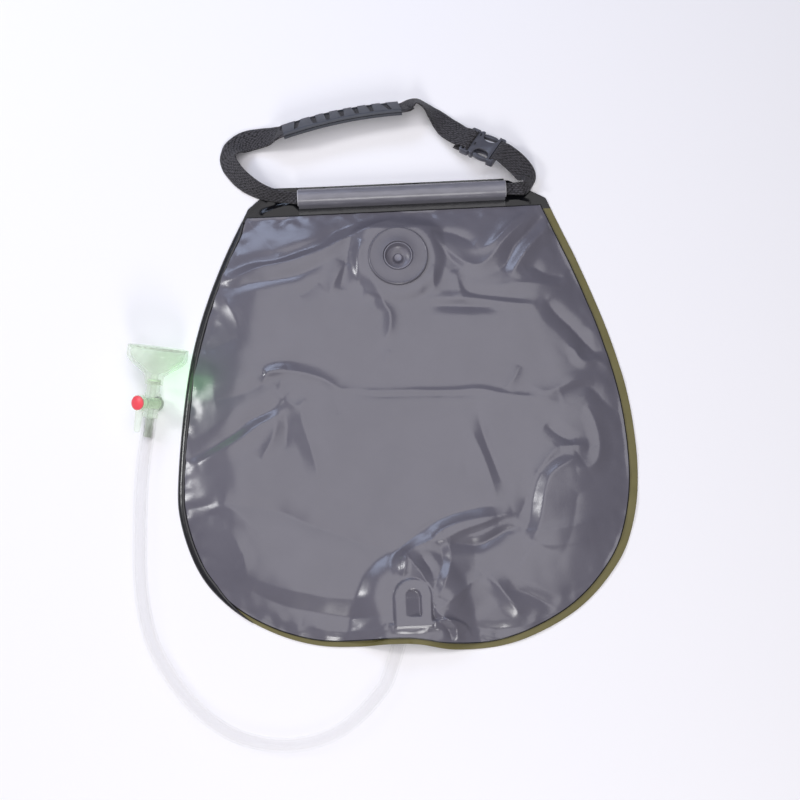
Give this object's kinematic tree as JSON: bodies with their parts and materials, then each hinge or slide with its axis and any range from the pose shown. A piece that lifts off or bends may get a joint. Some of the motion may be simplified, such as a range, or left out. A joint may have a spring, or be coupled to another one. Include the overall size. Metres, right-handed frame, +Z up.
{
  "type": "camp shower bag",
  "caption": "Flat empty water bag with fill valve, hanging rod in a sleeve, webbing carry strap with grip and buckle, and a hose with a lever tap and spray rose.",
  "frame": {"origin": "on the floor under the middle of the bag", "axes": "+X along the hanging rod, +Y from the outlet end to the rod, +Z up from the floor that the bag lies on"},
  "size_m": [0.4992, 0.661, 0.0603],
  "materials": {
    "back_film": "olive PVC film with a fine fabric grain",
    "front_film": "semi-gloss grey PVC film",
    "sleeve_film": "semi-gloss grey PVC film",
    "rod_plastic": "extruded grey plastic",
    "webbing": "woven black webbing",
    "grip_rubber": "matt slate moulded rubber",
    "buckle_plastic": "fine moulded grey acetal",
    "valve_plastic": "moulded grey soft PVC",
    "stopper_plastic": "moulded grey soft PVC",
    "outlet_plastic": "moulded dark plastic",
    "hose_plastic": "clear soft PVC tube",
    "head_plastic": "translucent pale green moulding",
    "plate_plastic": "translucent pale green moulding with jets",
    "rotor_plastic": "pale moulded plastic",
    "seal_rubber": "black seal rubber",
    "clip_steel": "spring steel",
    "screw_steel": "zinc plated steel",
    "cap_plastic": "red moulded plastic"
  },
  "bodies": {
    "bag": {"back_panel": "back_film", "front_panel": "front_film", "hem_sleeve": "sleeve_film", "hanging_rod": "rod_plastic", "strap_rod_run": "webbing", "fill_valve": "valve_plastic", "outlet_fitting": "outlet_plastic", "hose": "hose_plastic", "tap_body": "head_plastic", "rose_bell": "head_plastic", "rose_seal": "seal_rubber", "spray_plate": "plate_plastic"},
    "strap": {"strap_left": "webbing", "strap_tail": "webbing", "handle_grip": "grip_rubber", "buckle_male": "buckle_plastic"},
    "arm_upper": {"buckle_arm_upper": "buckle_plastic"},
    "arm_lower": {"buckle_arm_lower": "buckle_plastic"},
    "female": {"buckle_female": "buckle_plastic", "strap_right": "webbing"},
    "stopper": {"fill_stopper": "stopper_plastic"},
    "tap": {"tap_rotor": "rotor_plastic", "rotor_seal_upper": "seal_rubber", "rotor_seal_lower": "seal_rubber", "retaining_clip": "clip_steel", "tap_handle": "head_plastic", "handle_screw": "screw_steel", "handle_cap": "cap_plastic"}
  },
  "joints": [
    {"name": "strap_swing", "type": "hinge", "parent": "bag", "child": "strap", "pos_m": [0.007, 0.2256, 0.0091], "axis": [1, 0, 0], "range_deg": [0, 110]},
    {"name": "stopper_pull", "type": "slide", "parent": "bag", "child": "stopper", "axis": [0, 0, 1], "range_m": [0, 0.025]},
    {"name": "tap_turn", "type": "hinge", "parent": "bag", "child": "tap", "pos_m": [-0.25115, 0.0147, 0.01564], "axis": [-0.4917, -0.1663, 0.8548], "range_deg": [0, 90]},
    {"name": "buckle_release", "type": "slide", "parent": "strap", "child": "female", "axis": [0.8466, -0.5087, 0.1564], "range_m": [0, 0.022], "deforming": ["strap_right", "buckle_arm_upper", "buckle_arm_lower"]},
    {"name": "upper_arm_squeeze", "type": "hinge", "parent": "strap", "child": "arm_upper", "pos_m": [0.09153, 0.28511, 0.01081], "axis": [-0.0131, -0.3137, -0.9494], "range_deg": [0, 10], "stiffness_Nm_per_rad": 0.7},
    {"name": "lower_arm_squeeze", "type": "hinge", "parent": "strap", "child": "arm_lower", "pos_m": [0.07807, 0.26483, 0.0177], "axis": [0.0131, 0.3137, 0.9494], "range_deg": [0, 10], "stiffness_Nm_per_rad": 0.7}
  ]
}
